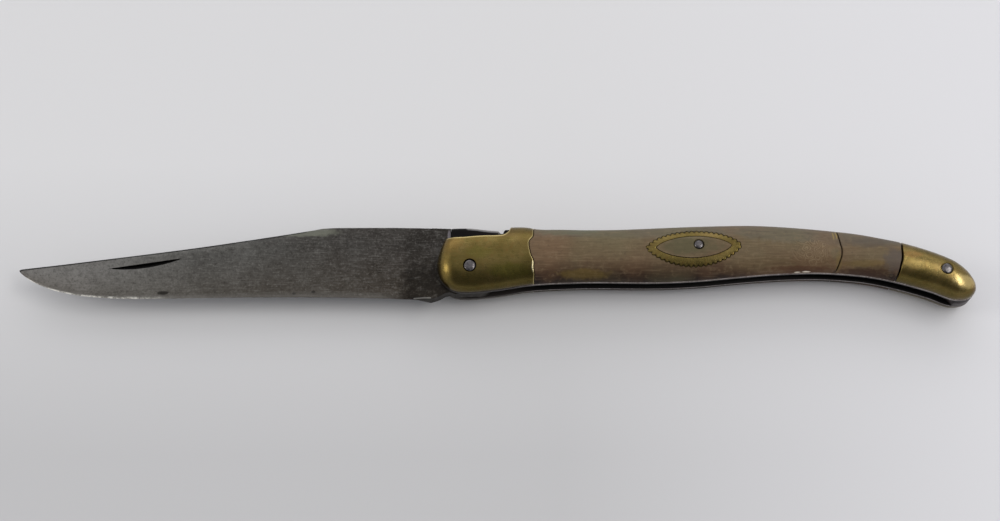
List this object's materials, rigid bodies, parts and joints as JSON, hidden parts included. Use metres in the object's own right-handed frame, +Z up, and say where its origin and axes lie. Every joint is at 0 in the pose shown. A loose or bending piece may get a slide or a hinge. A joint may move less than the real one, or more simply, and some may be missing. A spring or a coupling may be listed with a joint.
{
  "type": "folding pocket knife",
  "caption": "Open folding pocket knife with a clip point blade, a curved horn handle, brass bolsters and butt caps, and a backspring that holds the blade open or closed.",
  "frame": {"origin": "axis of the pivot pin, on the flat of its lower head, which the knife rests on", "axes": "+X from the pivot to the butt along the handle, with the blade pointing along -X; +Y to the spring side; +Z up, across the handle's thickness"},
  "size_m": [0.2136, 0.0178, 0.0124],
  "materials": {
    "blade_steel": "grey patina, pitted, worn bright at the edge",
    "spring_steel": "dark brown patina",
    "liner_steel": "dull, worn",
    "pin_steel": "peened and rubbed",
    "brass": "dull olive patina, rubbed bright on the roundings",
    "horn": "satin, fine grain along the handle"
  },
  "bodies": {
    "handle": {"backspring": "spring_steel", "upper_liner": "liner_steel", "upper_bolster": "brass", "upper_end_cap": "brass", "upper_inlay_ring": "brass", "upper_bolster_rivet": "brass", "upper_cap_rivet": "brass", "upper_scale": "horn", "upper_rear_scale": "horn", "lower_liner": "liner_steel", "lower_bolster": "brass", "lower_end_cap": "brass", "lower_inlay_ring": "brass", "lower_bolster_rivet": "brass", "lower_cap_rivet": "brass", "lower_scale": "horn", "lower_rear_scale": "horn", "pivot_pin": "pin_steel", "middle_pin": "pin_steel", "rear_pin": "pin_steel"},
    "blade": {"blade": "blade_steel"}
  },
  "joints": [
    {"name": "blade_pivot", "type": "hinge", "parent": "handle", "child": "blade", "pos_m": [0, 0, 0.0062], "axis": [0, 0, 1], "range_deg": [0, 177.95], "deforming": ["backspring"]}
  ]
}
